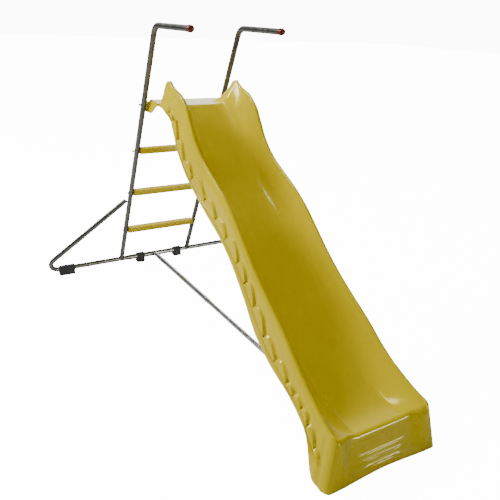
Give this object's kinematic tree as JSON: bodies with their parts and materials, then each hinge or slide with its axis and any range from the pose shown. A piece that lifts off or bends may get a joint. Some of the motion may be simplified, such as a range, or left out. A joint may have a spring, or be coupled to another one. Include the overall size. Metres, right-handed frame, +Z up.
{
  "type": "wave slide",
  "caption": "Free-standing garden slide with a one-piece wavy chute, a leaning tube ladder with forward handles, side outriggers and a floor strut.",
  "frame": {"origin": "on the ground under the middle of the bounding box", "axes": "+Z up, +Y towards the ladder, the chute's exit at -Y, +X across"},
  "size_m": [1.2288, 1.98, 1.324],
  "materials": {
    "chute_yellow": "gloss",
    "step_yellow": "satin",
    "tube_steel": "satin zinc",
    "sleeve_steel": "satin zinc",
    "strut_steel": "bright zinc",
    "foot_rubber": "matt",
    "cap_red": "satin",
    "zinc_hardware": "bright zinc"
  },
  "bodies": {
    "slide": {"base_loop_left": "tube_steel", "base_loop_right": "tube_steel", "base_sleeve": "sleeve_steel", "centre_foot_left": "foot_rubber", "centre_foot_right": "foot_rubber", "corner_foot_left": "foot_rubber", "corner_foot_right": "foot_rubber", "handle_cap_left": "cap_red", "handle_cap_right": "cap_red", "lower_stile_left": "tube_steel", "lower_stile_right": "tube_steel", "platform_pin_left": "zinc_hardware", "platform_pin_right": "zinc_hardware", "slide_chute": "chute_yellow", "step_1": "step_yellow", "step_2": "step_yellow", "step_3": "step_yellow", "step_bolts": "zinc_hardware", "step_pin_left": "zinc_hardware", "step_pin_right": "zinc_hardware", "strut_bolt": "zinc_hardware", "strut_front_tube": "strut_steel", "strut_rear_tube": "strut_steel", "upper_stile_left": "tube_steel", "upper_stile_right": "tube_steel"},
    "platform_clip_left": {"platform_clip_left": "zinc_hardware"},
    "platform_clip_right": {"platform_clip_right": "zinc_hardware"},
    "step_clip_left": {"step_clip_left": "zinc_hardware"},
    "step_clip_right": {"step_clip_right": "zinc_hardware"}
  },
  "joints": [
    {"name": "platform_clip_left_pull", "type": "slide", "parent": "slide", "child": "platform_clip_left", "axis": [0, 0, 1], "range_m": [0, 0.03]},
    {"name": "platform_clip_right_pull", "type": "slide", "parent": "slide", "child": "platform_clip_right", "axis": [0, 0, 1], "range_m": [0, 0.03]},
    {"name": "step_clip_left_pull", "type": "slide", "parent": "slide", "child": "step_clip_left", "axis": [0, 0, 1], "range_m": [0, 0.03]},
    {"name": "step_clip_right_pull", "type": "slide", "parent": "slide", "child": "step_clip_right", "axis": [0, 0, 1], "range_m": [0, 0.03]}
  ]
}
